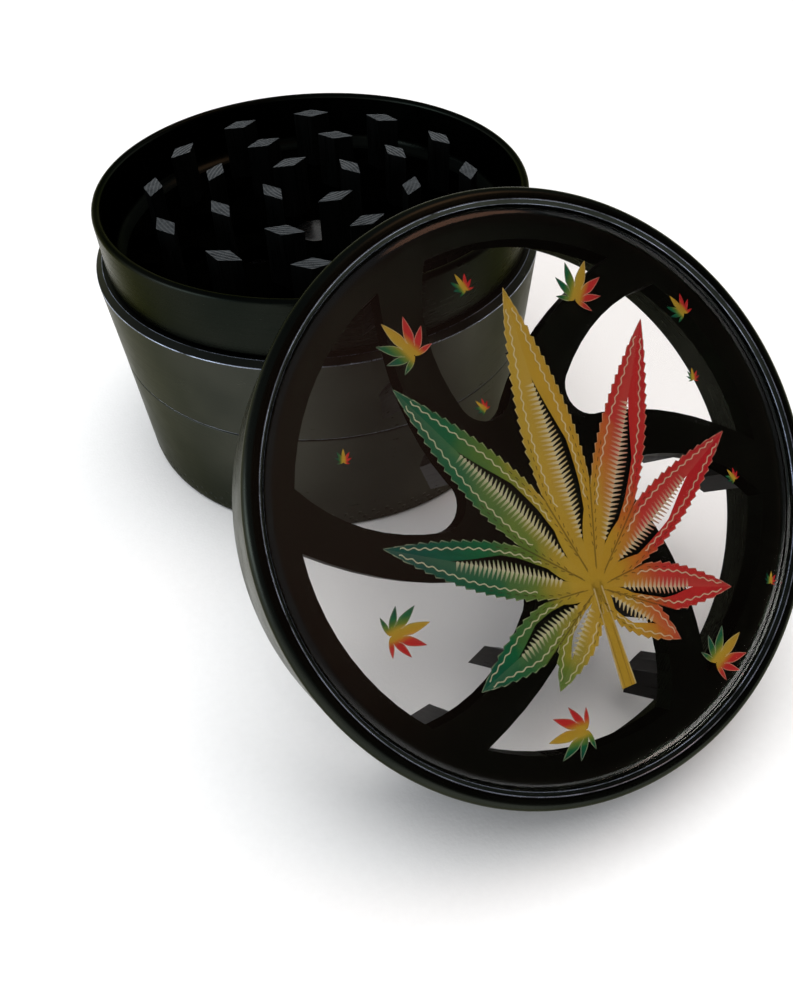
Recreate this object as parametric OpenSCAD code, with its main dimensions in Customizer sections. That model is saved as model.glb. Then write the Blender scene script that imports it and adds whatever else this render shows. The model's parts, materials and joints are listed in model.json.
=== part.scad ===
// Four-part herb grinder with a clear, printed lid, opened for use: the body stands on its
// base and the lid leans on the rim of the grinding chamber.
// +Z is up, the origin is the middle of the base's underside, and the lid leans towards -Y.
// Every lid part is drawn flat, with z = 0 at the lid's front face, and on_lid() places it.

/* [Body] */
// Radius of the base's underside
foot_r = 30.25; // [29.8:0.05:30.6]
// Radius of the collector's top edge
shoulder_r = 31.45; // [31.1:0.05:32]
// Height of the collector's top edge
shoulder_z = 30.2; // [29.5:0.1:30.6]
// Height of the joint line between base and collector
joint_z = 17.8; // [16:0.1:19]
// Height of the chamber's rim
rim_z = 38.75; // [38:0.05:40]
// Outer radius of the chamber's neck
neck_r = 29.88; // [29.6:0.02:30]
// Wall of the chamber's neck
neck_wall = 1.2; // [1:0.05:1.5]
// Thickness of the base's floor
base_floor = 2.4; // [1.5:0.1:4]

/* [Screw joints, drawn as plain fits] */
// Bore radius of the base's and the collector's female ends
bore_r = 28.1; // [27.9:0.05:28.3]
// Length of each male end
thread_h = 4.6; // [3:0.1:5.5]
// Radial play of each screw joint
thread_play = 0.08; // [0.03:0.01:0.1]
// Gap at the faces where two parts meet
face_gap = 0.1; // [0.05:0.01:0.3]

/* [Screen] */
// Height of the screen's underside
screen_z = 15.4; // [14.8:0.1:16]
// Thickness of the mesh
screen_t = 0.25; // [0.15:0.05:0.5]
// Radius of the mesh
screen_r = 25.9; // [25:0.1:26]

/* [Grinding chamber] */
// Height of the chamber floor's top
floor_z = 31; // [30.9:0.1:32]
// Thickness of the chamber floor
floor_t = 2.2; // [1.8:0.1:2.6]
// Length of a tooth, along its ring
tooth_l = 5.5; // [4:0.1:5.8]
// Width of a tooth, across its ring
tooth_w = 2.6; // [2:0.1:2.7]
// Diameter of the outer ring of floor holes
outer_hole_d = 4; // [3:0.1:4.1]
// Diameter of the other floor holes
hole_d = 4.6; // [3:0.1:4.8]
// Radius of the two magnets
magnet_r = 3; // [2:0.1:3.2]

/* [Lid] */
// Radius of the lid's rounded edge
lid_r = 32.1; // [31.9:0.1:33]
// Height of the lid
lid_h = 13.2; // [13.2:0.1:14.5]
// Radius of the rounding round the front face
lid_round = 1; // [0.6:0.1:1.2]
// Depth of the windowed plate's top below the front face
plate_depth = 2.65; // [2.65:0.05:3]
// Thickness of the windowed plate
plate_t = 2.55; // [2:0.05:2.55]
// Radius that the windows reach
window_reach = 26.9; // [26:0.1:27.2]
// Thickness of the clear cover
cover_t = 2.2; // [1.6:0.05:2.2]
// Length of the lid's teeth
lid_tooth_h = 7.9; // [6:0.1:7.9]
// Angle by which the lid's teeth are swept from their rings
lid_tooth_sweep = 24; // [0:1:30]

/* [Leaning pose] */
// Angle that the lid leans back from lying flat
lean = 41.9; // [40:0.1:43]
// Distance from the body's axis to the middle of the lid's front face
lid_reach = 59.2; // [59:0.1:62]

/* [Hidden] */
$fn = 96;

anodised = [0.10, 0.10, 0.09];
worn_tooth = [0.45, 0.46, 0.44];
steel = [0.72, 0.72, 0.70];
clear = [0.85, 0.90, 0.90, 0.3];
print_yellow = [0.80, 0.68, 0.22];
print_green = [0.10, 0.45, 0.30];

male_r = bore_r - thread_play;
collector_top = shoulder_z + 0.6;
shoulder_chamfer = 0.95;
collector_r = 27.2;
base_r = 27.4;
inner_neck_r = neck_r - neck_wall;
floor_r = 27;
tooth_rings = [[4, 6.2, 6.4], [8, 14, 6.2], [12, 21.75, 5.9]];
hole_rings = [[8, 10.1, 11, hole_d], [12, 17.9, 22, hole_d], [20, 24.7, 14, outer_hole_d]];

lid_skirt_r = lid_r - 0.6;
skirt_bore_r = neck_r + 0.25;
lip_r = 30.1;
plate_bottom = plate_depth + plate_t;
window_count = 6;
lid_tooth_rings = [[3, 10.1, 16.5], [6, 18, 59.4], [6, 25.8, 45.9]];
lid_post_r = 3.9;
edge_break = 0.3;
lid_centre_z = (lid_skirt_r - edge_break) * sin(lean) + lid_h * cos(lean);
cover_top = -0.3;
print_t = 0.08;

function taper_r(z) = foot_r + (shoulder_r - foot_r) * z / shoulder_z;
function arc(centre, radius, from, to, steps = 6) =
    [for (i = [0 : steps]) let (a = from + (to - from) * i / steps) centre + radius * [cos(a), sin(a)]];
function bend(p, q, r, steps = 8) =
    [for (i = [1 : steps - 1]) let (t = i / steps) (1 - t) * (1 - t) * p + 2 * t * (1 - t) * q + t * t * r];
function polar(radius, angle) = radius * [cos(angle), sin(angle)];

module lathe(points) rotate_extrude() polygon(points);
module tube(outer, inner, low, high) lathe([[inner, low], [outer, low], [outer, high], [inner, high]]);
module on_lid() translate([0, -lid_reach, lid_centre_z]) rotate([lean, 0, 0]) children();

// One tooth: a rhombic post whose long diagonal lies along its ring
module tooth(height)
    linear_extrude(height)
        polygon([[tooth_w / 2, 0], [0, tooth_l / 2], [-tooth_w / 2, 0], [0, -tooth_l / 2]]);

// Rings of teeth; each ring is [count, radius, angle of its first tooth]
module teeth(rings, height, sweep = 0)
    for (ring = rings, i = [0 : ring[0] - 1])
        rotate(ring[2] + i * 360 / ring[0]) translate([ring[1], 0, 0]) rotate(sweep) tooth(height);

// Lowest part: the cup that catches the finest powder
module base_cup() {
    edge = 0.8;
    fillet = 2.5;
    step_z = joint_z - thread_h - 0.3;
    color(anodised) lathe(concat(
        [[0, 0]],
        arc([foot_r - edge, edge], edge, -90, 0),
        [[taper_r(joint_z) - 0.1, joint_z - 0.1], [taper_r(joint_z) - 0.2, joint_z], [bore_r + 0.2, joint_z],
         [bore_r, joint_z - 0.2], [bore_r, step_z], [base_r, step_z]],
        arc([base_r - fillet, base_floor + fillet], fillet, 0, -90),
        [[0, base_floor]]));
}

// Fine woven screen that lets only powder through to the base
module mesh_screen() color(steel) translate([0, 0, screen_z]) cylinder(r = screen_r, h = screen_t);

// Snap ring that holds the screen down on the collector's lip
module screen_ring()
    color(steel) tube(screen_r, screen_r - 1.4, screen_z + screen_t, screen_z + screen_t + 1);

// Middle part: the tapered shell that collects the ground herb
module collector_shell() {
    low = joint_z - thread_h;
    seat_r = screen_r + thread_play;
    color(anodised) lathe([
        [seat_r - 2, low], [male_r - 0.3, low], [male_r, low + 0.3], [male_r, joint_z + face_gap],
        [taper_r(joint_z) - 0.2, joint_z + face_gap], [taper_r(joint_z) - 0.1, joint_z + face_gap + 0.1],
        [shoulder_r, shoulder_z], [shoulder_r - shoulder_chamfer, collector_top],
        [bore_r + 0.2, collector_top], [bore_r, collector_top - 0.2],
        [bore_r, collector_top - thread_h - 0.6], [collector_r, collector_top - thread_h - 0.6],
        [collector_r, screen_z + screen_t + 2.6], [seat_r, screen_z + screen_t + 1.3],
        [seat_r, screen_z - face_gap], [seat_r - 2, screen_z - face_gap]]);
}

// Neck and male end of the grinding chamber
module chamber_wall() {
    rim_round = neck_wall / 2;
    low = collector_top - thread_h;
    color(anodised) lathe(concat(
        [[floor_r, low], [male_r - 0.3, low], [male_r, low + 0.3], [male_r, collector_top + face_gap],
         [neck_r - 0.1, collector_top + face_gap], [neck_r, collector_top + face_gap + 0.1]],
        arc([neck_r - rim_round, rim_z - rim_round], rim_round, 0, 180, 10),
        [[inner_neck_r, floor_z + 1.6], [inner_neck_r - 0.5, floor_z + 0.5], [floor_r, floor_z]]));
}

// Floor of the grinding chamber, with the holes that the ground herb drops through
module chamber_floor()
    color(anodised) difference() {
        translate([0, 0, floor_z - floor_t]) cylinder(r = floor_r, h = floor_t);
        for (ring = hole_rings, i = [0 : ring[0] - 1])
            rotate(ring[2] + i * 360 / ring[0]) translate([ring[1], 0, floor_z - floor_t - 1])
                cylinder(d = ring[3], h = floor_t + 2);
        translate([0, 0, floor_z - 1.65]) cylinder(r = magnet_r + 0.05, h = 2);
    }

// Fixed teeth, standing on the chamber floor and level with its rim
module chamber_teeth()
    color(worn_tooth) translate([0, 0, floor_z]) teeth(tooth_rings, rim_z - floor_z);

// Magnet let into the chamber floor
module chamber_magnet() color(steel) translate([0, 0, floor_z - 1.6]) cylinder(r = magnet_r, h = 1.6);

// Rounded edge and skirt of the lid
module lid_ring()
    color(anodised) on_lid() lathe(concat(
        [[skirt_bore_r + edge_break, -lid_h], [lid_skirt_r - edge_break, -lid_h],
         [lid_skirt_r, edge_break - lid_h]],
        arc([lid_r - lid_round, -lid_round], lid_round, 0, 90, 8),
        [[lip_r + 0.4, 0], [lip_r, -0.4], [lip_r, -plate_bottom], [skirt_bore_r, -plate_bottom],
         [skirt_bore_r, edge_break - lid_h]]));

// One swept window: an arc near the plate's edge that narrows to a round lobe near its hub
module window_outline() {
    lobe = polar(12.5, 44.2);
    lobe_r = 3;
    first = -8.4;
    last = 38.4;
    polygon(concat(
        arc([0, 0], window_reach, first, last, 10),
        bend(polar(window_reach, last), [12.9, 17.1], lobe + polar(lobe_r, 140)),
        arc(lobe, lobe_r, 140, 270, 10),
        bend(lobe + polar(lobe_r, 270), [18.1, 4.2], polar(window_reach, first))));
}

// Plate under the clear cover, with a pinwheel of swept windows
module lid_plate()
    color(anodised) on_lid() difference() {
        translate([0, 0, -plate_bottom]) cylinder(r = lip_r, h = plate_t);
        for (i = [0 : window_count - 1])
            rotate(i * 360 / window_count) translate([0, 0, -plate_bottom - 1])
                linear_extrude(plate_t + 2) window_outline();
    }

// Teeth under the lid's plate, in the gaps between the chamber's rings
module lid_teeth()
    color(worn_tooth) on_lid() translate([0, 0, -plate_bottom - lid_tooth_h])
        teeth(lid_tooth_rings, lid_tooth_h, lid_tooth_sweep);

// Post under the middle of the plate, which carries the magnet
module lid_post()
    color(anodised) on_lid() translate([0, 0, -plate_bottom]) mirror([0, 0, 1]) difference() {
        cylinder(r = lid_post_r, h = lid_tooth_h - 0.2);
        translate([0, 0, lid_tooth_h - 1.75]) cylinder(r = magnet_r + 0.05, h = 2);
    }

// Magnet in the end of the post
module lid_magnet()
    color(steel) on_lid() translate([0, 0, -plate_bottom - lid_tooth_h + 0.2])
        cylinder(r = magnet_r, h = 1.5);

// Clear acrylic cover, let in flush and bevelled at its edge
module lid_cover() {
    bevel_w = 1.1;
    bevel_h = 0.5;
    r = lip_r - 0.1;
    color(clear) on_lid() lathe([
        [0, cover_top - cover_t], [r, cover_top - cover_t], [r, cover_top - bevel_h],
        [r - bevel_w, cover_top], [0, cover_top]]);
}

// Nylon ring in the lid that the chamber's rim turns against
module friction_ring()
    color("ivory") on_lid()
        tube(skirt_bore_r - 0.03, skirt_bore_r - 1.1, -plate_bottom - 0.3, -plate_bottom);

// One lobe of a leaf, from its blunt root at the origin to its tip on +X, with any stem on -X
module lobe(length, half_width, steps, stem = 0) {
    blunt = 0.06;
    blade = [for (i = [0 : steps])
        let (t = blunt + (1 - blunt) * i / steps)
        [length * i / steps, half_width * pow(sin(180 * pow(t, 0.85)), 0.9)]];
    side = concat(stem > 0 ? [[-stem, stem / 12], [0, stem / 12]] : [], blade);
    polygon(concat(side, [for (i = [len(side) - 2 : -1 : 0]) [side[i][0], -side[i][1]]]));
}

// A leaf with a middle lobe along +Y and pairs of shorter lobes beside it
module leaf(reach, spread, lengths, ratios, steps, stem = 0) {
    for (i = [0 : len(spread) - 1], side = (i == 0) ? [1] : [-1, 1])
        rotate(90 + side * spread[i])
            lobe(reach * lengths[i], reach * lengths[i] * ratios[i], steps, i == 0 ? stem : 0);
}

module printed()
    on_lid() translate([0, 0, cover_top - cover_t - print_t]) linear_extrude(print_t) children();

// The large leaf printed under the clear cover
module leaf_print()
    color(print_yellow) printed() translate([1.1, -11.2]) rotate(-3.8)
        leaf(32.9, [0, 30.3, 62, 109, 138], [1, 0.91, 0.725, 0.512, 0.352],
             [0.095, 0.097, 0.112, 0.156, 0.19], 10, 11);

// The small leaves scattered round it; each is [x, y, reach, turn]
module small_leaf_prints() {
    scatter = [[-21.67, -6.71, 4.3, -94], [-5.94, -24.08, 4.6, 82], [11.3, -24.5, 4.6, -67],
               [-8.69, 17.92, 4.6, 28], [10.93, 17.92, 4.6, -38], [23.5, 12.4, 2.6, 22],
               [-0.82, 22.5, 2, 15], [-19.63, 10.56, 1.35, -20], [-3.58, 10.36, 1.4, 30],
               [21.56, 5.15, 1.35, -15], [22.07, -7, 1.5, 20], [21.66, -19.4, 1.3, -30]];
    color(print_green) printed() for (s = scatter)
        translate([s[0], s[1]]) rotate(s[3])
            leaf(s[2], [0, 32, 62, 102], [1, 0.9, 0.7, 0.5], [0.13, 0.13, 0.13, 0.13], 4);
}

base_cup();
mesh_screen();
screen_ring();
collector_shell();
chamber_wall();
chamber_floor();
chamber_teeth();
chamber_magnet();
lid_ring();
lid_plate();
lid_teeth();
lid_post();
lid_magnet();
lid_cover();
friction_ring();
leaf_print();
small_leaf_prints();
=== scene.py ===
"""The looks of an opened herb grinder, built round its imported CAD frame.

Turned parts are lathed again from the frame's own outlines, with eased edges, screw threads and
knurl pits. The teeth, the woven screen and the print are built here, each in the place of its CAD
node. Lengths are in metres; MM turns millimetres into them.
"""

import json
import math

import bmesh
import bpy
import numpy as np
from mathutils import Matrix, Vector


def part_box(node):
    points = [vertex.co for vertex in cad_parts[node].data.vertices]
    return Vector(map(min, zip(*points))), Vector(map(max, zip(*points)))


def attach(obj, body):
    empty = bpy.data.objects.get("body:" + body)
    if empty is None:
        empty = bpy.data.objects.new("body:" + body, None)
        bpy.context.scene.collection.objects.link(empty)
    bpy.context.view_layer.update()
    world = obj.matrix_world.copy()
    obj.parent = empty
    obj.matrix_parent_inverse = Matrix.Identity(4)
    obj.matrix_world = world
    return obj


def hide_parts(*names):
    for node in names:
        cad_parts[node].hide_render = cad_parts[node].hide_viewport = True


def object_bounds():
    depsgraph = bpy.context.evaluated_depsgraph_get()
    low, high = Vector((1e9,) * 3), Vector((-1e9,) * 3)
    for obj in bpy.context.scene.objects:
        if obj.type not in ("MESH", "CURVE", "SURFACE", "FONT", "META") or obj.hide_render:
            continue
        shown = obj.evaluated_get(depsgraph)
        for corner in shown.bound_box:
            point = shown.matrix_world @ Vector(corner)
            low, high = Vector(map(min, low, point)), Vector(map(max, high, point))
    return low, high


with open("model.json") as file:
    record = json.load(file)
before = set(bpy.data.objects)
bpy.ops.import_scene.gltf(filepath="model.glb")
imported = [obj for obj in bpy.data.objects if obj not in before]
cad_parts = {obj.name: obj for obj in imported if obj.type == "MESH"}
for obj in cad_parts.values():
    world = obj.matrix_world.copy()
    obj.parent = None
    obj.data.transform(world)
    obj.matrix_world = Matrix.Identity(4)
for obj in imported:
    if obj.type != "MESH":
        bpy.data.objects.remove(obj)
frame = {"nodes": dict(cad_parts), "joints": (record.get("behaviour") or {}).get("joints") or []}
CAD_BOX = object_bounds()

MM = 0.001
AROUND = 288  # facets round every turned part
SAME = 0.02 * MM  # points of an outline closer than this are one point
EASE = 0.14 * MM  # rounding of the machined edges
SHARP = math.radians(25)  # a corner that turns less than this stays as it is
THREAD_R, THREAD_PITCH, THREAD_DEPTH = 28.06 * MM, 1.5 * MM, 0.42 * MM
THREAD_NEAR = 0.1 * MM  # a wall this close to the screws' radius is a screw's wall
THREAD_LEAST = 3 * MM  # a wall shorter than this carries no screw
THREAD_ROWS = 12  # rows of points in the height of one turn
THREAD_RUN_OUT = 1 / 8  # share of the wall over which a groove fades at each end
KNURL_PITCH, KNURL_BANDS, KNURL_EVERY = 0.85 * MM, 3, 3  # a pit in every third cell of each band
FOOT_R, FOOT_TOP = 29 * MM, 6 * MM  # the knurled foot lies beyond this radius and below this height
IDENTITY = Matrix.Identity(4)


def lid_place():
    """The lid's own frame: the middle of its front face, with z out of that face."""
    hinge = next(j for j in frame["joints"] if j["name"] == "lid_turn")
    turn = Vector((0, 0, 1)).rotation_difference(Vector(hinge["axis"]).normalized())
    return Matrix.LocRotScale(Vector(hinge["pos_m"]), turn, None)


LID = lid_place()


# ---------------------------------------------------------------- outlines and lathes

def turned_outline(node, place=IDENTITY):
    """(points, closed) of a turned CAD node's outline: (radius, height) with the solid on the left."""
    inverse = place.inverted()
    mesh = frame["nodes"][node].data
    points, cells, ids = [], {}, []
    for vertex in mesh.vertices:
        p = inverse @ vertex.co
        r, z = math.hypot(p.x, p.y), p.z
        cell = (round(r / SAME), round(z / SAME))
        near = [(cell[0] + i, cell[1] + j) for i in (0, -1, 1) for j in (0, -1, 1)]
        found = next((cells[c] for c in near if c in cells), None)
        if found is None:
            found = cells[cell] = len(points)
            points.append((r, z))
        ids.append(found)
    links = {i: set() for i in range(len(points))}
    for a, b in mesh.edge_keys:
        if ids[a] != ids[b]:
            links[ids[a]].add(ids[b])
            links[ids[b]].add(ids[a])
    ends = [i for i in links if len(links[i]) < 2]
    walk = [ends[0] if ends else 0]
    while True:
        onward = [i for i in links[walk[-1]] if i not in walk]
        if not onward:
            break
        walk.append(onward[0])
    outline = [points[i] for i in walk]
    if ends:
        outline = [(0.0, outline[0][1])] + outline + [(0.0, outline[-1][1])]
    area = sum(a[0] * b[1] - b[0] * a[1] for a, b in zip(outline, outline[1:] + outline[:1]))
    if area < 0:
        outline.reverse()
    return outline, not ends


def eased(outline, closed, radius=EASE, steps=3):
    """(radius, height, corner) along the outline, its sharp convex corners rounded and numbered."""
    out = []
    count = len(outline)
    for i, (r, z) in enumerate(outline):
        if r == 0.0 or (not closed and i in (0, count - 1)):
            out.append((r, z, 0))
            continue
        here = Vector((r, z))
        back = Vector(outline[i - 1]) - here
        on = Vector(outline[(i + 1) % count]) - here
        turn = math.pi - back.angle(on)
        convex = (-back).x * on.y - (-back).y * on.x > 0
        if turn < SHARP or not convex:
            out.append((r, z, 0))
            continue
        longest_cut = 0.4 * min(back.length, on.length)
        cut = min(radius * math.tan(turn / 2), longest_cut)
        first, last = here + back.normalized() * cut, here + on.normalized() * cut
        for k in range(steps + 1):
            t = k / steps
            p = first * (1 - t) ** 2 + here * 2 * t * (1 - t) + last * t * t
            out.append((p.x, p.y, i + 1))
    return out


def with_threads(outline, closed):
    """Rows of (radius, height, groove depth, corner), with fine rows along each screw's cylinder."""
    rows = []
    pairs = list(zip(outline, outline[1:] + outline[:1]))
    if not closed:
        pairs = pairs[:-1]
    for (r0, z0, corner), (r1, z1, _) in pairs:
        rows.append((r0, z0, 0.0, corner))
        upright = abs(z1 - z0) > THREAD_LEAST and abs(r1 - r0) < SAME
        if upright and abs(r0 - THREAD_R) < THREAD_NEAR:
            depth = -THREAD_DEPTH if z1 > z0 else THREAD_DEPTH
            count = round(abs(z1 - z0) / (THREAD_PITCH / THREAD_ROWS))
            for k in range(1, count):
                t = k / count
                fade = min(1.0, t / THREAD_RUN_OUT, (1 - t) / THREAD_RUN_OUT)
                rows.append((r0, z0 + (z1 - z0) * t, depth * fade, 0))
    if not closed:
        rows.append((*outline[-1][:2], 0.0, 0))
    return rows


def groove(phase):
    """How deep a thread's groove is at this turn of its helix, from 0 at the crest to 1."""
    height, slope = 1.6, 5.0  # of a V in the middle of each turn, which is cut off flat at 1
    return np.clip(height - np.abs(phase % 1.0 - 0.5) * slope, 0.0, 1.0)


def with_knurl(rows, heights):
    """The rows, with those low on the outer wall replaced by one row at each of these heights."""
    under = 0.05 * MM  # a row this close below the lowest height goes too
    foot = sorted((p for p in rows if p[0] > FOOT_R and p[1] < FOOT_TOP), key=lambda p: p[1])
    foot_heights, foot_radii = [p[1] for p in foot], [p[0] for p in foot]
    rows = [p for p in rows if not (p[0] > FOOT_R and heights[0] - under < p[1] < heights[-1])]
    at = next(i for i, p in enumerate(rows) if p[0] > FOOT_R and p[1] > heights[-1] - SAME)
    rows[at:at] = [(float(np.interp(z, foot_heights, foot_radii)), z, 0.0, 0) for z in heights]
    return rows


class Builder:
    """Gathers points and faces, with a material index for each face and values for each point."""

    def __init__(self):
        self.points, self.faces, self.slots, self.values = [], [], [], []

    def add(self, points, value=(0.0, 0.0, 0.0)):
        start = len(self.points)
        self.points.extend(tuple(p) for p in points)
        self.values.extend([value] * len(points))
        return list(range(start, len(self.points)))

    def face(self, ids, slot=0):
        self.faces.append(tuple(ids))
        self.slots.append(slot)

    def bridge(self, low, high, slot=0, wrap=True):
        count = len(low)
        for j in range(count if wrap else count - 1):
            k = (j + 1) % count
            self.face((low[j], low[k], high[k], high[j]), slot)

    def make(self, name, materials, place=IDENTITY, smooth=True, attributes=()):
        mesh = bpy.data.meshes.new(name)
        mesh.from_pydata(self.points, [], self.faces)
        mesh.transform(place)
        for m in materials:
            mesh.materials.append(m)
        mesh.polygons.foreach_set("material_index", self.slots)
        mesh.polygons.foreach_set("use_smooth", [smooth] * len(self.faces))
        for k, title in enumerate(attributes):
            layer = mesh.attributes.new(title, "FLOAT", "POINT")
            layer.data.foreach_set("value", [v[k] for v in self.values])
        work = bmesh.new()
        work.from_mesh(mesh)
        bmesh.ops.recalc_face_normals(work, faces=work.faces)
        work.to_mesh(mesh)
        work.free()
        mesh.update()
        piece = bpy.data.objects.new(name, mesh)
        bpy.context.scene.collection.objects.link(piece)
        if smooth:
            even = piece.modifiers.new("even_shading", "WEIGHTED_NORMAL")
            even.mode = "FACE_AREA"
            even.weight = 100
            even.keep_sharp = True
        return piece


def stands_for(piece, nodes, body):
    """The piece takes the place of these CAD nodes and rides on their body."""
    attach(piece, body)
    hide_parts(*nodes)
    return piece


def ring_points(r, z, depth, angles):
    """One row of a lathed wall, with the screw's groove cut to this depth where the helix passes."""
    radii = r + depth * groove(z / THREAD_PITCH - angles / (2 * math.pi))
    return np.stack([radii * np.cos(angles), radii * np.sin(angles), np.full(len(angles), z)], 1)


def knurl_band(b, low, high, low_rz, high_rz, first):
    """One band of knurl pits between two rings: a pit in every third cell, counted from first."""
    pit_r, pit_depth, sides = 0.19 * MM, 0.2 * MM, 8
    terraces = ((1.0, 0.0), (0.8, 0.75), (0.35, 1.0))  # shares of the pit's radius and depth
    step = 2 * math.pi / AROUND
    mid_r, mid_z = (low_rz[0] + high_rz[0]) / 2, (low_rz[1] + high_rz[1]) / 2
    lean = (high_rz[0] - low_rz[0]) / (high_rz[1] - low_rz[1])
    for j in range(AROUND):
        k = (j + 1) % AROUND
        if (j - first) % KNURL_EVERY:
            b.face((low[j], low[k], high[k], high[j]))
            continue
        loops = []
        for size, sunk in terraces:
            pts = []
            for s in range(sides):
                a = 2 * math.pi * (s + 0.5) / sides
                dz = pit_r * size * math.sin(a)
                r = mid_r + lean * dz - pit_depth * sunk
                t = (j + 0.5) * step + pit_r * size * math.cos(a) / mid_r
                pts.append((r * math.cos(t), r * math.sin(t), mid_z + dz))
            loops.append(b.add(pts))
        rim = loops[0]
        corners = [high[k], high[j], low[j], low[k]]
        for q in range(4):
            b.face((corners[q], rim[2 * q + 1], rim[2 * q]))
            b.face((corners[q], corners[(q + 1) % 4], rim[(2 * q + 2) % sides], rim[2 * q + 1]))
        b.bridge(loops[0], loops[1])
        b.bridge(loops[1], loops[2])
        b.face(loops[2])


def lathe(name, node, body, finishes, place=IDENTITY, ease=EASE, knurl=()):
    """Turns a CAD node's outline again, finely, as a piece in its place.

    A second finish, if there is one, goes on the eased edges. knurl lists the heights between which
    bands of pits run round the outer wall.
    """
    outline, closed = turned_outline(node, place)
    rows = with_threads(eased(outline, closed, ease), closed)
    if knurl:
        rows = with_knurl(rows, knurl)
    b = Builder()
    angles = np.arange(AROUND) * 2 * math.pi / AROUND
    rings = []
    for r, z, depth, _ in rows:
        rings.append(b.add([(0, 0, z)] if r == 0.0 else ring_points(r, z, depth, angles)))
    pairs = list(zip(range(len(rows)), list(range(1, len(rows))) + [0]))
    for i, k in pairs if closed else pairs[:-1]:
        low, high = rings[i], rings[k]
        if rows[i][1] in knurl and rows[k][1] in knurl:
            knurl_band(b, low, high, rows[i], rows[k], first=2 * knurl.index(rows[i][1]))
        elif len(low) == 1 or len(high) == 1:
            pole, ring = (low, high) if len(low) == 1 else (high, low)
            if len(pole) == len(ring):
                continue
            for j in range(AROUND):
                b.face((pole[0], ring[j], ring[(j + 1) % AROUND]))
        else:
            worn = len(finishes) > 1 and rows[i][3] and rows[i][3] == rows[k][3]
            b.bridge(low, high, 1 if worn else 0)
    return stands_for(b.make(name, finishes, place), [node], body)


# ---------------------------------------------------------------- materials
# Noise scales count features in a metre, and bump distances are lengths.

class Nodes:
    """Short calls for the shader nodes that the materials use."""

    def __init__(self, tree):
        self.tree = tree

    def node(self, kind, inputs=(), **settings):
        n = self.tree.nodes.new(kind)
        for key, value in settings.items():
            setattr(n, key, value)
        for key, value in dict(inputs).items():
            self.feed(n.inputs[key], value)
        return n

    def feed(self, socket, value):
        if isinstance(value, bpy.types.NodeSocket):
            self.tree.links.new(value, socket)
        else:
            socket.default_value = value

    def math(self, operation, a, b=0.0, clamp=False):
        return self.node("ShaderNodeMath", {0: a, 1: b}, operation=operation, use_clamp=clamp).outputs[0]

    def noise(self, vector, scale, detail=2.0, rough=0.5):
        return self.node("ShaderNodeTexNoise", {"Vector": vector, "Scale": scale, "Detail": detail,
                                                "Roughness": rough}).outputs["Fac"]

    def noise_1d(self, w, scale, detail=2.0):
        return self.node("ShaderNodeTexNoise", {"W": w, "Scale": scale, "Detail": detail},
                         noise_dimensions="1D").outputs["Fac"]

    def ramp(self, value, stops, mode="LINEAR"):
        n = self.node("ShaderNodeValToRGB", {"Fac": value})
        n.color_ramp.interpolation = mode
        marks = n.color_ramp.elements
        while len(marks) < len(stops):
            marks.new(0.5)
        for mark, (place, colour) in zip(marks, stops):
            mark.position = place
            mark.color = (*colour, 1.0)
        return n.outputs["Color"]

    def mix(self, share, a, b, blend="MIX"):
        n = self.node("ShaderNodeMix", data_type="RGBA", blend_type=blend)
        for socket, value in ((n.inputs[0], share), (n.inputs[6], a), (n.inputs[7], b)):
            if isinstance(value, tuple):
                value = (*value, 1.0) if len(value) == 3 else value
            self.feed(socket, value)
        return n.outputs[2]

    def span(self, value, low, high, to_low, to_high, smooth=False):
        kind = "SMOOTHSTEP" if smooth else "LINEAR"
        return self.node("ShaderNodeMapRange", {"Value": value, "From Min": low, "From Max": high,
                                                "To Min": to_low, "To Max": to_high},
                         interpolation_type=kind).outputs["Result"]

    def bump(self, height, distance, strength=1.0, normal=None):
        n = self.node("ShaderNodeBump", {"Height": height, "Distance": distance, "Strength": strength})
        if normal is not None:
            self.feed(n.inputs["Normal"], normal)
        return n.outputs["Normal"]


def material(name, **sockets):
    """A new material, its node helper and its shader, with plain values set on the shader's sockets."""
    m = bpy.data.materials.new(name)
    m.use_nodes = True
    shader = m.node_tree.nodes["Principled BSDF"]
    for key, value in sockets.items():
        socket = shader.inputs[key.replace("_", " ")]
        socket.default_value = (*value, 1.0) if isinstance(value, tuple) else value
    return m, Nodes(m.node_tree), shader


def own_space(n, place):
    """Object coordinates, taken into the lid's own frame for a CAD node that is drawn in the row's."""
    vector = n.node("ShaderNodeTexCoord").outputs["Object"]
    if place is IDENTITY:
        return vector
    return n.node("ShaderNodeMapping", {"Vector": vector, "Location": tuple(place.translation),
                                        "Rotation": tuple(place.to_euler())},
                  vector_type="TEXTURE").outputs["Vector"]


def tool_path(n, vector):
    """Distance along a lathe tool's path: the radius on a flat face, the height on a wall."""
    xyz = n.node("ShaderNodeSeparateXYZ", {"Vector": vector}).outputs
    flat = n.node("ShaderNodeCombineXYZ", {"X": xyz["X"], "Y": xyz["Y"]}).outputs["Vector"]
    radius = n.node("ShaderNodeVectorMath", {0: flat}, operation="LENGTH").outputs["Value"]
    return n.math("ADD", radius, xyz["Z"])


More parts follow.
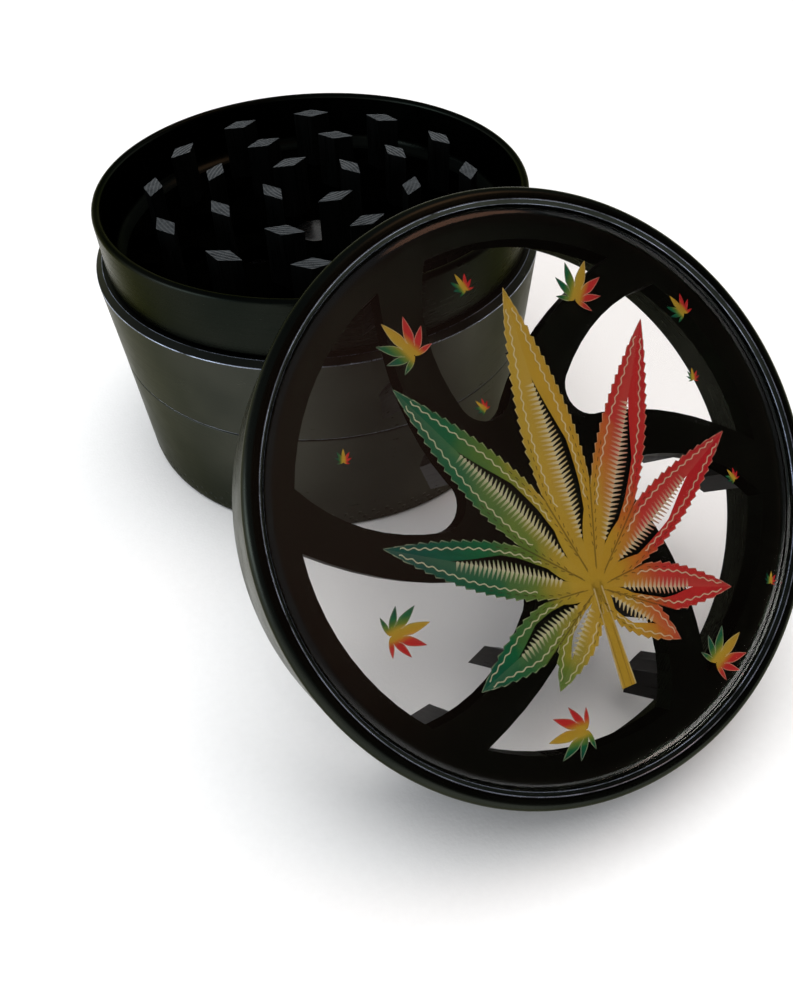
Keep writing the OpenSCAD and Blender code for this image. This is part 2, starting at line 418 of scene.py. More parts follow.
def anodised(name, dark, light, rough, place=IDENTITY, marks=1.0, grazing=0.5):
    """Black anodised aluminium: a satin skin over fine turning marks, a little worn and smudged."""
    m, n, shader = material(name, Metallic=1.0, Specular_Tint=(grazing, grazing, 0.9 * grazing))
    vector = own_space(n, place)
    path = tool_path(n, vector)
    cloud = n.noise(vector, 55.0, 3.0)
    smudge = n.noise(vector, 160.0, 4.0, 0.65)
    grain = n.noise(vector, 5200.0, 2.0)
    lines = n.noise_1d(path, 2600.0, 3.0)
    n.feed(shader.inputs["Base Color"], n.mix(n.span(cloud, 0.35, 0.7, 0.0, 1.0), dark, light))
    spread = n.math("ADD", n.span(smudge, 0.3, 0.75, rough - 0.05, rough + 0.07),
                    n.span(lines, 0.3, 0.7, -0.03, 0.03))
    n.feed(shader.inputs["Roughness"], spread)
    turned = n.bump(lines, 0.006 * MM * marks)
    n.feed(shader.inputs["Normal"], n.bump(grain, 0.004 * MM, normal=turned))
    return m


def worn_edge_and_painted_highlight(name, place=IDENTITY):
    """Machined edges, where handling has polished the anodising thin, brightened by a painted highlight.
    """
    m, n, shader = material(name, Metallic=0.85)
    vector = own_space(n, place)
    wear = n.noise(vector, 260.0, 4.0, 0.7)
    # partly real wear, partly painted highlight: the bright, bluish end of the ramp copies the cool
    # light that these edges mirror
    n.feed(shader.inputs["Base Color"], n.ramp(wear, [(0.32, (0.04, 0.042, 0.043)),
                                                      (0.58, (0.42, 0.47, 0.58))]))
    n.feed(shader.inputs["Roughness"], n.span(wear, 0.3, 0.7, 0.34, 0.2))
    n.feed(shader.inputs["Normal"], n.bump(n.noise(vector, 5000.0, 2.0), 0.003 * MM))
    return m


def faced_metal(name, place=IDENTITY):
    """The faced ends of the teeth: thinner, greyer anodising on the ridges that the cutter left."""
    m, n, shader = material(name, Metallic=0.35, Specular_IOR_Level=0.3)
    vector = own_space(n, place)
    wear = n.noise(vector, 700.0, 4.0, 0.7)
    n.feed(shader.inputs["Base Color"], n.ramp(wear, [(0.3, (0.012, 0.014, 0.015)),
                                                      (0.75, (0.055, 0.062, 0.067))]))
    n.feed(shader.inputs["Roughness"], n.span(wear, 0.2, 0.8, 0.2, 0.36))
    n.feed(shader.inputs["Normal"], n.bump(n.noise(vector, 6000.0, 2.0), 0.004 * MM))
    return m


def milled_metal_painted_shade(name, place=IDENTITY):
    """The sides of the teeth, near black in painted shade, with faint cutter marks up and down."""
    m, n, shader = material(name, Specular_IOR_Level=0.08)
    vector = own_space(n, place)
    upright = (4200.0, 4200.0, 160.0)
    drawn = n.node("ShaderNodeMapping", {"Vector": vector, "Scale": upright}).outputs[0]
    marks = n.noise(drawn, 1.0, 3.0)
    # painted shade: a near-black base colour, far darker than the anodising elsewhere, for the shade
    # among the teeth
    n.feed(shader.inputs["Base Color"], n.ramp(marks, [(0.35, (0.0012, 0.0015, 0.0014)),
                                                       (0.7, (0.0038, 0.004, 0.0037))]))
    n.feed(shader.inputs["Roughness"], n.span(marks, 0.3, 0.7, 0.26, 0.4))
    n.feed(shader.inputs["Normal"], n.bump(marks, 0.006 * MM))
    return m


def steel(name, colour, rough, place=IDENTITY):
    """Bare bright metal with hairline scratches."""
    m, n, shader = material(name, Metallic=1.0)
    vector = own_space(n, place)
    sideways = (500.0, 6000.0, 6000.0)
    drawn = n.node("ShaderNodeMapping", {"Vector": vector, "Scale": sideways}).outputs[0]
    hair = n.noise(drawn, 1.0, 3.0)
    darker = tuple(c * 0.8 for c in colour)
    n.feed(shader.inputs["Base Color"], n.mix(hair, darker, colour))
    n.feed(shader.inputs["Roughness"], n.span(hair, 0.3, 0.7, rough - 0.06, rough + 0.1))
    n.feed(shader.inputs["Normal"], n.bump(hair, 0.003 * MM))
    return m


def acrylic():
    """Clear acrylic, glossy, with faint polishing haze; its faint warm grey tint is painted shade."""
    # painted shade: the warm grey tint darkens what shows through the cover, standing in for the shade
    # under the lid
    m, n, shader = material("clear_acrylic_with_painted_shade_tint", IOR=1.49, Transmission_Weight=1.0,
                            Base_Color=(0.92, 0.895, 0.88))
    vector = own_space(n, LID)
    haze = n.noise(vector, 300.0, 5.0, 0.7)
    n.feed(shader.inputs["Roughness"], n.span(haze, 0.55, 0.8, 0.0, 0.006))
    return m


def nylon():
    """Milky nylon with a soft waxy gloss."""
    m, n, shader = material("nylon_milky", Roughness=0.45, Subsurface_Weight=0.25,
                            Subsurface_Scale=0.5 * MM)
    vector = own_space(n, LID)
    cloud = n.noise(vector, 400.0)
    n.feed(shader.inputs["Base Color"], n.mix(cloud, (0.78, 0.77, 0.7), (0.86, 0.85, 0.8)))
    n.feed(shader.inputs["Normal"], n.bump(n.noise(vector, 3000.0), 0.01 * MM))
    return m


INK_VALUES = ("across", "pale", "dark")  # what each point of the print tells its ink


def ink():
    """Printed ink: green, yellow, orange and red across a leaf, with pale and dark line work."""
    m, n, shader = material("leaf_ink_print", Roughness=0.5, Specular_IOR_Level=0.1)
    vector = own_space(n, LID)
    across, pale, dark = (n.node("ShaderNodeAttribute", attribute_name=title).outputs["Fac"]
                          for title in INK_VALUES)
    spread = n.math("ADD", across, n.span(n.noise(vector, 350.0, 2.0), 0.3, 0.7, -0.03, 0.03))
    hue = n.ramp(n.span(spread, -1.0, 1.0, 0.0, 1.0), [
        (0.10, (0.0, 0.036, 0.027)), (0.26, (0.002, 0.058, 0.02)), (0.36, (0.07, 0.105, 0.013)),
        (0.44, (0.25, 0.165, 0.016)), (0.57, (0.26, 0.15, 0.013)), (0.62, (0.27, 0.08, 0.011)),
        (0.68, (0.27, 0.014, 0.012)), (1.0, (0.24, 0.004, 0.01))])
    dots = n.noise(vector, 4200.0, 2.0)
    hue = n.mix(n.span(dots, 0.35, 0.7, 0.0, 0.25), hue, (0.9, 0.85, 0.7), "MULTIPLY")
    hue = n.mix(pale, hue, (0.36, 0.33, 0.22))
    n.feed(shader.inputs["Base Color"], n.mix(dark, hue, (0.03, 0.018, 0.008)))
    n.feed(shader.inputs["Roughness"], n.span(dots, 0.3, 0.7, 0.42, 0.6))
    n.feed(shader.inputs["Normal"], n.bump(dots, 0.004 * MM))
    return m


def paper():
    """The pale floor, with a barely visible tooth."""
    m, n, shader = material("floor_paper", Roughness=0.9)
    vector = own_space(n, IDENTITY)
    n.feed(shader.inputs["Base Color"], n.mix(n.noise(vector, 900.0, 4.0), (0.90, 0.90, 0.895),
                                              (0.94, 0.94, 0.935)))
    n.feed(shader.inputs["Normal"], n.bump(n.noise(vector, 2500.0, 3.0), 0.03 * MM))
    return m


# ---------------------------------------------------------------- teeth

def rhombi(node, place=IDENTITY):
    """Each tooth of a CAD node as (its four corners in plan, lowest z, highest z)."""
    inverse = place.inverted()
    mesh = frame["nodes"][node].data
    points = [inverse @ v.co for v in mesh.vertices]
    first = {}
    parent = list(range(len(points)))

    def root(i):
        while parent[i] != i:
            parent[i] = parent[parent[i]]
            i = parent[i]
        return i

    for i, p in enumerate(points):
        key = tuple(round(c / SAME) for c in p)
        parent[root(i)] = root(first.setdefault(key, i))
    for a, b in mesh.edge_keys:
        parent[root(a)] = root(b)
    groups = {}
    for i, p in enumerate(points):
        groups.setdefault(root(i), []).append(p)
    teeth = []
    for group in groups.values():
        plan = {(round(p.x, 6), round(p.y, 6)) for p in group}
        middle = Vector((sum(p[0] for p in plan), sum(p[1] for p in plan))) / len(plan)
        corners = sorted(plan, key=lambda p: math.atan2(p[1] - middle.y, p[0] - middle.x))
        teeth.append((corners, min(p.z for p in group), max(p.z for p in group)))
    return teeth


def inside(corners, x, y):
    """Whether a point lies within a convex outline whose corners run anticlockwise."""
    return all((b[0] - a[0]) * (y - a[1]) - (b[1] - a[1]) * (x - a[0]) >= 0
               for a, b in zip(corners, corners[1:] + corners[:1]))


def arc_end(corners, r, heading, side):
    """How far an arc of radius r runs to one side of the heading inside the tooth, in radians."""
    farthest, halvings = 4 * MM, 22
    low, high = 0.0, farthest / r
    if not inside(corners, r * math.cos(heading), r * math.sin(heading)):
        high = 0.0
    for _ in range(halvings):
        mid = (low + high) / 2
        a = heading + side * mid
        if inside(corners, r * math.cos(a), r * math.sin(a)):
            low = mid
        else:
            high = mid
    return side * low


def faced_tooth(b, corners, root_z, tip_z, pitch=0.5 * MM, ridge=0.04 * MM, across=8):
    """A rhombic post whose free end carries the arcs that the facing cutter left round the axis."""
    middle = sum(p[0] for p in corners) / 4, sum(p[1] for p in corners) / 4
    heading = math.atan2(middle[1], middle[0])
    inward = math.copysign(1.0, root_z - tip_z)
    radii = [math.hypot(*p) for p in corners]
    shortest, longest = min(radii), max(radii)
    rows_per_ridge, narrowest = 4, 1e-4
    rows = int((longest - shortest) / (pitch / rows_per_ridge))
    levels = [shortest + (longest - shortest) * (k + 0.5) / rows for k in range(rows)]
    strips = []
    for r in levels:
        ends = [arc_end(corners, r, heading, side) for side in (-1, 1)]
        if ends[1] - ends[0] < narrowest:
            continue
        z = tip_z + inward * ridge * (0.5 - 0.5 * math.cos(2 * math.pi * r / pitch))
        strips.append(b.add([(r * math.cos(heading + a), r * math.sin(heading + a), z)
                             for a in np.linspace(ends[0], ends[1], across + 1)]))
    for low, high in zip(strips, strips[1:]):
        b.bridge(low, high, 1, wrap=False)
    one_side, other_side = [s[-1] for s in strips], [s[0] for s in reversed(strips)]
    edge = one_side + strips[-1][-2:0:-1] + other_side + strips[0][1:-1]
    foot = b.add([(b.points[i][0], b.points[i][1], root_z) for i in edge])
    b.bridge(edge, foot, 0)
    b.face(foot, 0)


def teeth(name, node, body, tip_up, materials, place=IDENTITY):
    """All the teeth of a CAD node, as one piece with ridged ends."""
    b = Builder()
    for corners, low, high in rhombi(node, place):
        faced_tooth(b, corners, *((low, high) if tip_up else (high, low)))
    piece = b.make(name, materials, place, smooth=False)
    return stands_for(piece, [node], body)


# ---------------------------------------------------------------- woven screen

def woven_screen(finish):
    """Plain-woven wire cloth, each wire passing over and under its neighbours in turn."""
    low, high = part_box("mesh_screen")
    disc_r, z = high.x, (low.z + high.z) / 2
    pitch, wire_r, wave, sides = 0.46 * MM, 0.06 * MM, 0.062 * MM, 4
    b = Builder()
    lines = int(disc_r / pitch)
    for along_x in (True, False):
        for k in range(-lines, lines + 1):
            offset = k * pitch
            reach = math.sqrt(max(disc_r ** 2 - offset ** 2, 0)) - wire_r
            knots = int(reach / pitch)
            if knots < 1:
                continue
            last = None
            for m in range(-knots, knots + 1):
                lift = wave * (1 if (k + m + along_x) % 2 else -1)
                loop = []
                for s in range(sides):
                    a = 2 * math.pi * (s + 0.5) / sides
                    side, up = wire_r * math.cos(a), z + lift + wire_r * math.sin(a)
                    at = (m * pitch, offset + side) if along_x else (offset + side, m * pitch)
                    loop.append((*at, up))
                loop = b.add(loop)
                if last is None:
                    b.face(loop[::-1])
                else:
                    b.bridge(last, loop)
                last = loop
            b.face(last)
    piece = b.make("woven_screen", [finish], smooth=False)
    return stands_for(piece, ["mesh_screen"], "collector_core")


# ---------------------------------------------------------------- print

LEAF_ROOT, LEAF_TURN, LEAF_REACH = (1.1 * MM, -11.2 * MM), math.radians(-3.8), 32.9 * MM
LOBES = [  # degrees from the middle, length, half width over length
    (0, 1.0, 0.095), (30.3, 0.91, 0.097), (62, 0.725, 0.112), (109, 0.512, 0.156), (138, 0.352, 0.19)]
STEM_LENGTH, STEM_WIDTH = 11 * MM, 1.83 * MM
HUB_R = 0.75 * MM
INK_GAP, INK_THICK, INK_LAYER = 0.006 * MM, 0.016 * MM, 0.018 * MM
HUE_SPREAD = 1.45  # the colours run across the leaf this many times as fast as its own width
WIDEST_ROOM = 40.0  # degrees that a lobe may spread to one side
SCATTER = [  # x and y, reach and turn of each small leaf, in millimetres and degrees
    (-21.67, -6.71, 4.3, -94), (-5.94, -24.08, 4.6, 82), (11.3, -24.5, 4.6, -67),
    (-8.69, 17.92, 4.6, 28), (10.93, 17.92, 4.6, -38), (23.5, 12.4, 2.6, 22),
    (-0.82, 22.5, 2, 15), (-19.63, 10.56, 1.35, -20), (-3.58, 10.36, 1.4, 30),
    (21.56, 5.15, 1.35, -15), (22.07, -7, 1.5, 20), (21.66, -19.4, 1.3, -30)]
SMALL_LOBES = [(0, 1.0, 0.13), (32, 0.9, 0.13), (62, 0.7, 0.13), (102, 0.5, 0.13)]
OUTLINED_REACH = 3  # a small leaf with a longer reach than this, in millimetres, has a pale outline


class Print:
    """Thin plates of ink under the cover, in the lid's frame, laid out along a leaf's lobes."""

    def __init__(self, face):
        self.b = Builder()
        self.face = face

    def strip(self, one, other, values, layer):
        """A closed thin plate between two lines of (x, y), layer 0 nearest the cover."""
        top = self.face - INK_GAP - layer * INK_LAYER
        ids = []
        for z in (top, top - INK_THICK):
            for line, side in ((one, 0), (other, 1)):
                start = len(self.b.points)
                self.b.points.extend((x, y, z) for x, y in line)
                self.b.values.extend(v[side] for v in values)
                ids.append(list(range(start, len(self.b.points))))
        top_one, top_other, low_one, low_other = ids
        self.b.bridge(top_one, top_other, wrap=False)
        self.b.bridge(low_other, low_one, wrap=False)
        self.b.bridge(low_one, top_one, wrap=False)
        self.b.bridge(top_other, low_other, wrap=False)
        self.b.face((top_one[0], low_one[0], low_other[0], top_other[0]))
        self.b.face((top_other[-1], low_other[-1], low_one[-1], top_one[-1]))


def lobe_half(t, length, ratio):
    """Half the width of a lobe, t of the way from its root to its tip."""
    towards_root, fullness = 0.85, 0.9
    return length * ratio * max(math.sin(math.pi * t ** towards_root), 0.0) ** fullness


class Lobe:
    """One lobe of a leaf, laid out in the lid's plan, with the room it has on either side."""

    def __init__(self, centre, turn, heading, length, reach, ratio, room):
        self.centre, self.turn, self.heading = centre, turn, math.radians(heading)
        self.length, self.reach, self.ratio, self.room = length, reach, ratio, room

    def at(self, along, beside):
        """(place in the lid's plan, how far across the leaf it is) of a point on the lobe."""
        x = along * math.sin(-self.heading) + beside * math.cos(-self.heading)
        y = along * math.cos(-self.heading) - beside * math.sin(-self.heading)
        c, s = math.cos(self.turn), math.sin(self.turn)
        return (self.centre[0] + c * x - s * y, self.centre[1] + s * x + c * y), x / self.reach

    def edge(self, t, side):
        """(half width, how free the edge is of the next lobe) on one side."""
        blend, nothing = 0.25, 1e-9
        half = lobe_half(t, self.length, self.ratio)
        limit = math.tan(math.radians(self.room[side > 0])) * t * self.length
        free = min(max((limit - half) / (blend * half + nothing), 0.0), 1.0)
        return min(half, limit), free


def saw(t, teeth_count):
    """A leaf's saw edge: each tooth rises slowly towards the tip and drops back."""
    return (t * teeth_count) % 1.0


def lobe_line(lobe, ts, beside, pale=0.0, dark=0.0):
    """Points and values along a lobe at distances beside(t) from its midrib."""
    points, values = [], []
    for t in ts:
        point, across = lobe.at(t * lobe.length, beside(t))
        points.append(point)
        shade = pale(t) if callable(pale) else pale
        values.append((across * HUE_SPREAD, shade, dark))
    return points, values


def lobe_strip(page, lobe, ts, inner, outer, layer, pale=(0.0, 0.0), dark=0.0):
    """A plate of ink along a lobe between the distances inner(t) and outer(t) from its midrib."""
    one, v1 = lobe_line(lobe, ts, inner, pale[0], dark)
    other, v2 = lobe_line(lobe, ts, outer, pale[1], dark)
    page.strip(one, other, list(zip(v1, v2)), layer)


def draw_big_lobe(page, lobe):
    """A serrated lobe: coloured bands, a solid left half, and a comb that reaches into a clear slit."""
    tooth_pitch, tooth_rise, points_per_tooth = 1.15 * MM, 0.36 * MM, 6
    teeth_count = max(round(lobe.length / tooth_pitch), 6)
    ts = list(np.linspace(0.012, 0.998, teeth_count * points_per_tooth + 1))
    slit_from, slit_to, slit_share = 0.15, 0.70, 0.56
    joined_below = 0.02  # how free an edge has to be before it is drawn as an edge
    pale_line, dark_line, wave_line = 0.11 * MM, 0.09 * MM, 0.14 * MM

    def outer(t, side):
        half, free = lobe.edge(t, side)
        tooth = (saw(t, teeth_count) - 0.35) * tooth_rise * free * min(1.0, 6 * (1 - t))
        return side * max(half + tooth * min(1.0, half / (1.2 * MM)), 0.02 * MM)

    def slit_edge(t):
        if not slit_from < t < slit_to:
            return 0.0
        grow = min((t - slit_from) / 0.10, (slit_to - t) / 0.22, 1.0)
        return lobe.edge(t, 1)[0] * slit_share * grow

    for side in (-1, 1):
        inner = slit_edge if side > 0 else (lambda t: 0.0)
        soft = (lambda t: 0.05 * min(1.0, 3 * t)) if side < 0 else 0.0
        lobe_strip(page, lobe, ts, inner, lambda t: outer(t, side), 2, pale=(soft, 0.0))
        free_ts = [t for t in ts if lobe.edge(t, side)[1] > joined_below]
        if len(free_ts) > 2:
            lobe_strip(page, lobe, free_ts, lambda t: outer(t, side),
                       lambda t: outer(t, side) - side * min(pale_line, abs(outer(t, side)) * 0.5), 1,
                       pale=(lambda t: 0.5 * saw(t, teeth_count), lambda t: 0.35 * saw(t, teeth_count)))
        joined = [t for t in ts if 0.06 < t and lobe.edge(t, side)[1] <= joined_below]
        if len(joined) > 2:
            lobe_strip(page, lobe, joined, lambda t: outer(t, side),
                       lambda t: outer(t, side) - side * dark_line, 1, dark=0.55)

        def wavy(t):
            half = lobe.edge(t, side)[0]
            share = 0.66 - 0.3 * max(0.0, (t - 0.62) / 0.38)
            return side * half * share + 0.11 * MM * math.sin(2 * math.pi * t * teeth_count)

        inner_ts = [t for t in ts if 0.28 < t < 0.93]
        lobe_strip(page, lobe, inner_ts, wavy, lambda t: wavy(t) + side * wave_line, 1, pale=(0.7, 0.7))
    draw_comb(page, lobe, slit_from, slit_to, slit_edge)
    draw_dashes(page, lobe, teeth_count)


def draw_comb(page, lobe, start, end, slit_edge):
    """Fine pale teeth from the midrib: long ones into the slit, short ones into the solid half."""
    pitch, shortest, overlap = 0.5 * MM, 0.08 * MM, 0.04 * MM
    share_of_slit, share_of_half, share_at_tip = 0.62, 0.42, 0.25
    half_step = 0.36 * pitch / lobe.length
    count = int((end - start) * lobe.length / pitch)
    for k in range(count):
        t = start + (end - start) * (k + 0.5) / count
        reach, back = slit_edge(t) * share_of_slit, lobe.edge(t, -1)[0] * share_of_half
        if reach < shortest:
            continue
        slant = 0.35 * reach / lobe.length
        for side, far, lean in ((1, reach, slant), (-1, back, 0.5 * slant)):
            steps = (-half_step, half_step)
            roots = [lobe.at((t + d) * lobe.length, -side * overlap) for d in steps]
            tips = [lobe.at((t + lean + d * share_at_tip) * lobe.length, side * far) for d in steps]
            near = [(a * HUE_SPREAD, 0.8, 0.0) for _, a in roots]
            tip = [(a * HUE_SPREAD, 0.35 if side > 0 else 0.1, 0.0) for _, a in tips]
            layer = 0 if side > 0 else 1
            page.strip([p for p, _ in roots], [p for p, _ in tips], list(zip(near, tip)), layer)


def draw_dashes(page, lobe, teeth_count):
    """Short dark strokes down both sides of the solid part near the root."""
    first, run, share, stroke = 0.13, 0.40, 0.82, 0.09 * MM
    count = teeth_count // 2
    for side in (-1, 1):
        for k in range(count):
            t = first + run * k / max(count, 1)
            half = lobe.edge(t, side)[0]
            ts = [t, t + 0.4 / teeth_count]
            lobe_strip(page, lobe, ts, lambda u: side * half * share,
                       lambda u: side * (half * share + stroke), 0, dark=0.7)


def draw_stem(page):
    """The stem: a slightly flared bar with pale edges and two dark lines down it."""
    stalk = Lobe(LEAF_ROOT, LEAF_TURN, 180, STEM_LENGTH, LEAF_REACH, 0, (0, 0))
    ts = list(np.linspace(0.0, 1.0, 9))
    lower_ts = [t for t in ts if t > 0.3]
    pale_line, dark_line = 0.14 * MM, 0.09 * MM

    def half(t):
        return STEM_WIDTH * (0.30 + 0.20 * t)

    lobe_strip(page, stalk, ts, lambda t: -half(t), half, 2)
    for side in (-1, 1):
        lobe_strip(page, stalk, ts, lambda t: side * half(t), lambda t: side * (half(t) - pale_line), 1,
                   pale=(0.45, 0.45))
    for offset in (-0.22, 0.24):
        lobe_strip(page, stalk, lower_ts, lambda t: offset * STEM_WIDTH,
                   lambda t: offset * STEM_WIDTH + dark_line, 1, dark=0.4)


def draw_hub(page):
    """A small round of ink over the place where the lobes meet."""
    arc = np.linspace(0.0, math.pi, 13)
    x, y = LEAF_ROOT
    upper, lower = ([(x + HUB_R * math.cos(a), y + side * HUB_R * math.sin(a)) for a in arc]
                    for side in (1, -1))
    plain = (0.0, 0.0, 0.0)
    page.strip(upper, lower, [(plain, plain)] * len(arc), 2)


def lobes_of(centre, turn, reach, table):
    """Every lobe of a leaf, with the room that it has on each side, up to half way to its neighbour.

    Headings count anticlockwise from the middle lobe, so the next lobe's room lies on the side where
    a distance from the midrib is below zero.
    """
    headings = sorted({s * a for a, _, _ in table for s in (-1, 1)})
    shapes = {a: (length, ratio) for a, length, ratio in table}
    for i, heading in enumerate(headings):
        beside = [headings[i - 1] if i else None, headings[i + 1] if i + 1 < len(headings) else None]
        rooms = [WIDEST_ROOM if o is None else abs(o - heading) / 2 for o in beside]
        rooms = [min(room, WIDEST_ROOM) for room in reversed(rooms)]
        length, ratio = shapes[abs(heading)]
        yield Lobe(centre, turn, heading, reach * length, reach, ratio, rooms)


def big_leaf(finish, face):
    """The large printed leaf, under the cover's face."""
    page = Print(face)
    for lobe in lobes_of(LEAF_ROOT, LEAF_TURN, LEAF_REACH, LOBES):
        draw_big_lobe(page, lobe)
    draw_stem(page)
    draw_hub(page)
    piece = page.b.make("printed_leaf", [finish], LID, smooth=False, attributes=INK_VALUES)
    return stands_for(piece, ["leaf_print"], "lid")


def small_leaves(finish, face):
    """The small printed leaves scattered round the large one."""
    page = Print(face)
    ts = list(np.linspace(0.02, 0.995, 11))
    outlined_ts = [t for t in ts if t > 0.3]
    thinnest, line = 0.01 * MM, 0.08 * MM
    for x, y, reach, turn in SCATTER:
        for lobe in lobes_of((x * MM, y * MM), math.radians(turn), reach * MM, SMALL_LOBES):
            for side in (-1, 1):
                def wide(t):
                    return side * max(lobe.edge(t, side)[0], thinnest)

                lobe_strip(page, lobe, ts, lambda t: 0.0, wide, 2)
                if reach > OUTLINED_REACH:
                    lobe_strip(page, lobe, outlined_ts, wide,
                               lambda t: wide(t) - side * min(line, abs(wide(t)) * 0.5), 1,
                               pale=(0.3, 0.3))
    piece = page.b.make("printed_small_leaves", [finish], LID, smooth=False, attributes=INK_VALUES)
    return stands_for(piece, ["small_leaf_prints"], "lid")


# ---------------------------------------------------------------- the object

def refinish(node, finish, soften=0.0):
    """Gives a CAD node that keeps its shape a better material, and breaks its edges if asked to."""
    same, sharp = 0.0005 * MM, math.radians(40)
    piece = frame["nodes"][node]
    for k in range(len(piece.data.materials)):
        piece.data.materials[k] = finish
    if soften:
        weld = piece.modifiers.new("weld", "WELD")
        weld.merge_threshold = same
        edge = piece.modifiers.new("edge", "BEVEL")
        edge.width = soften
        edge.segments = 2
        edge.limit_method = "ANGLE"
        edge.angle_limit = sharp
        edge.harden_normals = True


def build_object():
    outer = anodised("black_anodised_satin", (0.032, 0.035, 0.029), (0.056, 0.058, 0.047), 0.33)
    # painted shade: the neck's anodising is about a quarter as bright as the body's, for the dark that
    # it mirrors
    neck = anodised("black_anodised_neck_painted_shade", (0.009, 0.0115, 0.009), (0.016, 0.0175, 0.014), 0.28)
    # painted shade: the chamber's inside gets a far darker copy of the anodising, with less sheen, for
    # the shade in that recess
    inner = anodised("black_anodised_inside_painted_shade", (0.002, 0.0024, 0.002), (0.0045, 0.005, 0.004), 0.5,
                     grazing=0.1)
    lid_outer = anodised("black_anodised_lid", (0.018, 0.021, 0.017), (0.034, 0.037, 0.029), 0.26, LID,
                         marks=0.15)
    lid_inner = anodised("black_plate", (0.006, 0.009, 0.0065), (0.012, 0.0155, 0.0115), 0.35, LID,
                         grazing=0.2)
    edge, lid_edge = worn_edge_and_painted_highlight("edge_worn_painted_highlight"), worn_edge_and_painted_highlight("lid_edge_worn_painted_highlight", LID)
    faced, milled = faced_metal("tooth_faced"), milled_metal_painted_shade("tooth_sides_painted_shade")
    lid_faced, lid_milled = faced_metal("lid_tooth_faced", LID), milled_metal_painted_shade("lid_tooth_sides_painted_shade", LID)
    mesh_steel = steel("screen_steel", (0.62, 0.61, 0.58), 0.3)
    # painted shade and painted warm reflection: the chamber magnet's nickel is darker and browner than
    # the lid magnet's, toning its glint down
    nickel = steel("magnet_nickel", (0.36, 0.33, 0.3), 0.24)
    lid_nickel = steel("lid_magnet_nickel", (0.6, 0.59, 0.56), 0.22, LID)
    print_ink = ink()

    knurl = [KNURL_PITCH * (k + 0.5) for k in range(KNURL_BANDS + 1)]
    lathe("base_cup_turned", "base_cup", "base", [outer], knurl=knurl)
    lathe("collector_turned", "collector_shell", "collector", [outer, edge])
    lathe("screen_ring_turned", "screen_ring", "collector_core", [mesh_steel],
          ease=0.2 * MM)
    lathe("chamber_wall_turned", "chamber_wall", "chamber", [neck])
    lathe("chamber_magnet_turned", "chamber_magnet", "chamber_core", [nickel],
          ease=0.2 * MM)
    lathe("lid_ring_turned", "lid_ring", "lid", [lid_outer, lid_edge], LID)
    lathe("lid_post_turned", "lid_post", "lid", [lid_inner], LID, ease=0.3 * MM)
    lathe("lid_magnet_turned", "lid_magnet", "lid_core", [lid_nickel], LID, ease=0.2 * MM)
    lathe("friction_ring_turned", "friction_ring", "lid", [nylon()], LID, ease=0.1 * MM)
    cover = lathe("lid_cover_polished", "lid_cover", "lid", [acrylic()], LID,
                  ease=0.12 * MM)
    cover.visible_shadow = False

    # the chamber floor takes that darker copy of the anodising, painted shade of the recess
    refinish("chamber_floor", inner, 0.12 * MM)
    refinish("lid_plate", lid_inner)
    teeth("chamber_teeth_faced", "chamber_teeth", "chamber", True, [milled, faced])
    teeth("lid_teeth_faced", "lid_teeth", "lid", False, [lid_milled, lid_faced], LID)
    woven_screen(mesh_steel)

    cover_face = min(z for _, z in turned_outline("lid_cover", LID)[0])
    big_leaf(print_ink, cover_face)
    small_leaves(print_ink, cover_face)


# ---------------------------------------------------------------- the studio

FLOOR_HALF = 12.0
ROOM = (0.85, 0.86, 0.86)
PATCHES = [  # direction, cosines where the patch starts and is full, colour
    ((0.0, 0.0, 1.0), 0.10, 0.50, (0.15, 0.165, 0.18)),  # the dim ceiling
    ((0.46, -0.74, 0.46), 0.66, 0.90, (0.018, 0.013, 0.010)),  # the dark that the cover mirrors
    ((0.12, -0.62, 0.78), 0.90, 0.98, (0.11, 0.06, 0.045)),  # a faint brown glow in that dark
    ((-0.97, 0.05, 0.20), 0.90, 0.98, (0.9, 1.0, 1.2)),  # a cool window on the left
    ((0.46, -0.03, 0.89), 0.975, 0.99, (1.4, 0.75, 0.5))]  # a small copper-coloured lamp above


def build_floor():
    """The paper that everything stands on, wide enough to have no edge in view."""
    mesh = bpy.data.meshes.new("floor")
    corners = [(x * FLOOR_HALF, y * FLOOR_HALF, 0) for x, y in ((-1, -1), (1, -1), (1, 1), (-1, 1))]
    mesh.from_pydata(corners, [], [(0, 1, 2, 3)])
    mesh.materials.append(paper())
    floor = bpy.data.objects.new("floor", mesh)
    bpy.context.scene.collection.objects.link(floor)


def build_world():
    """A room that is pale all round, with the patches that the glossy surfaces mirror."""
    world = bpy.data.worlds.new("studio")
    bpy.context.scene.world = world
    world.use_nodes = True
    n = Nodes(world.node_tree)
    back = world.node_tree.nodes["Background"]
    towards = n.node("ShaderNodeTexCoord").outputs["Generated"]
    colour = ROOM
    for direction, start, full, tint in PATCHES:
        aim = tuple(Vector(direction).normalized())
        cosine = n.node("ShaderNodeVectorMath", {0: towards, 1: aim}, operation="DOT_PRODUCT")
        share = n.span(cosine.outputs["Value"], start, full, 0.0, 1.0, smooth=True)
        colour = n.mix(share, colour, tint)
    n.feed(back.inputs["Color"], colour)
    back.inputs["Strength"].default_value = 1.0


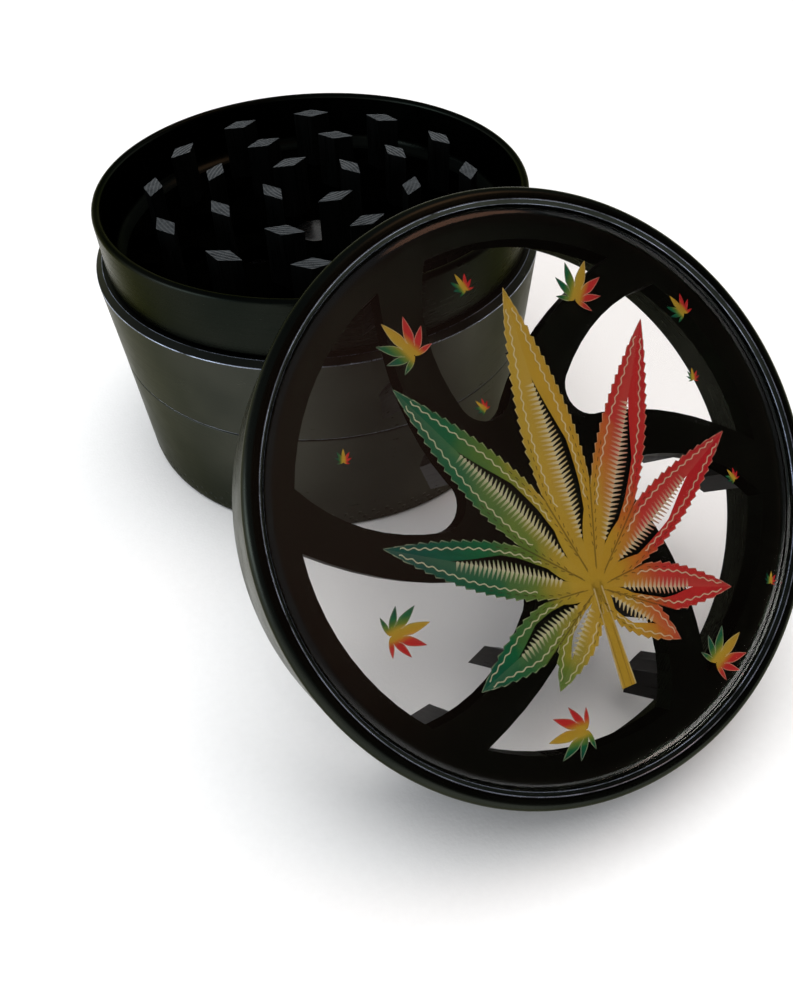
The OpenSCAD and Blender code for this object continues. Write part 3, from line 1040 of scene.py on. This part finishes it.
def light(name, kind, power, glints):
    """A lamp that shines straight down. Without glints, nothing glossy mirrors it."""
    lamp = bpy.data.lights.new(name, kind)
    lamp.energy = power
    holder = bpy.data.objects.new(name, lamp)
    bpy.context.scene.collection.objects.link(holder)
    holder.visible_glossy = glints
    return holder


def area_light(name, place, aim, size, power, colour, glints=True):
    """A rectangular lamp that stands at a place and shines at its aim."""
    holder = light(name, "AREA", power, glints)
    holder.data.shape = "RECTANGLE"
    holder.data.size, holder.data.size_y = size
    holder.data.color = colour
    holder.location = place
    holder.rotation_euler = (Vector(aim) - Vector(place)).to_track_quat("-Z", "Y").to_euler()


def build_lights():
    """A softbox above, an overcast sky that reaches the floor's far end, and a window on the left."""
    middle = (CAD_BOX[0] + CAD_BOX[1]) / 2
    area_light("softbox", (0.05, 0.15, 1.2), middle, (1.2, 1.2), 10.5, (1.0, 0.998, 0.99), glints=False)
    light("overcast", "SUN", 1.5, glints=False).data.angle = math.radians(70)
    area_light("left_window", (-0.55, 0.0, 0.16), middle, (0.3, 0.2), 0.5, (0.86, 0.93, 1.0))


def build_camera():
    """The camera stands where the photographer did; its heading, pitch and roll are in degrees."""
    place = Vector((-41.2, -102.9, 92.4)) * MM
    heading, pitch, roll = 62.74, -47.31, -1.54
    focal_share = 0.8272  # focal length over the picture's long side
    h, p = math.radians(heading), math.radians(pitch)
    ahead = Vector((math.cos(h) * math.cos(p), math.sin(h) * math.cos(p), math.sin(p)))
    side = ahead.cross(Vector((0, 0, 1))).normalized()
    up = side.cross(ahead)
    a = math.radians(roll)
    side, up = math.cos(a) * side + math.sin(a) * up, math.cos(a) * up - math.sin(a) * side
    data = bpy.data.cameras.new("camera")
    data.sensor_width = 36.0
    data.lens = data.sensor_width * focal_share
    data.clip_start, data.clip_end = 0.005, 20.0
    camera = bpy.data.objects.new("camera", data)
    bpy.context.scene.collection.objects.link(camera)
    camera.matrix_world = Matrix((
        (side.x, up.x, -ahead.x, place.x), (side.y, up.y, -ahead.y, place.y),
        (side.z, up.z, -ahead.z, place.z), (0, 0, 0, 1)))
    bpy.context.scene.camera = camera


build_camera()
build_object()
build_floor()
build_world()
build_lights()
bpy.context.scene.view_settings.view_transform = "Standard"
